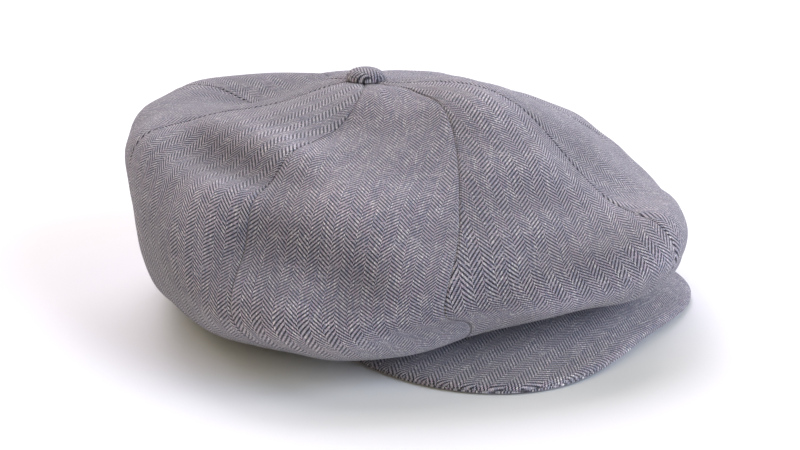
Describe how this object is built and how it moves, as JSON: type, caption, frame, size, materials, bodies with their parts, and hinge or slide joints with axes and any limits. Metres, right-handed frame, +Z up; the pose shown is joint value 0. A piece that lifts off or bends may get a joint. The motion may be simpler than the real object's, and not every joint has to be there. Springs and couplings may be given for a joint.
{
  "type": "newsboy cap",
  "caption": "Full, soft newsboy cap of herringbone wool, with panels that meet under a covered button, a short stiff peak, a satin lining and a sweatband.",
  "frame": {"origin": "centre of the head opening, on the plane that the back of the rim rests on", "axes": "-Y out of the front of the cap over the peak, -X to the wearer's right, +Z up through the crown"},
  "size_m": [0.2862, 0.2858, 0.109],
  "materials": {
    "wool_tweed": "grey herringbone wool with mauve and blue flecks, softly fulled",
    "lining_satin": "charcoal satin with a soft sheen",
    "sweatband_cotton": "black ribbed cotton ribbon, matte",
    "canvas_tape": "unbleached stiff cotton tape, matte",
    "label_satin": "plain woven satin, no lettering",
    "button_metal": "pressed, dull",
    "thread": "waxed linen thread",
    "peak_board": "semi-rigid sheet, matte"
  },
  "bodies": {
    "crown": {"crown_panel_1": "wool_tweed", "crown_panel_2": "wool_tweed", "crown_panel_3": "wool_tweed", "crown_panel_4": "wool_tweed", "crown_panel_5": "wool_tweed", "crown_panel_6": "wool_tweed", "crown_panel_7": "wool_tweed", "crown_panel_8": "wool_tweed", "lining_panel_1": "lining_satin", "lining_panel_2": "lining_satin", "lining_panel_3": "lining_satin", "lining_panel_4": "lining_satin", "lining_panel_5": "lining_satin", "lining_panel_6": "lining_satin", "lining_panel_7": "lining_satin", "lining_panel_8": "lining_satin", "seam_tapes": "canvas_tape", "head_tape": "canvas_tape", "sweatband": "sweatband_cotton", "size_tab": "label_satin", "label_patch": "label_satin", "button_cover": "wool_tweed", "button_core": "button_metal", "button_thread": "thread"},
    "peak": {"peak_top_cloth": "wool_tweed", "peak_board": "peak_board", "peak_under_cloth": "wool_tweed"}
  },
  "joints": [
    {"name": "peak_flex", "type": "hinge", "parent": "crown", "child": "peak", "pos_m": [0, -0.0307, 0.0011], "axis": [1, 0, 0], "range_deg": [0, 10], "stiffness_Nm_per_rad": 0.6, "springref_deg": -4.98}
  ]
}
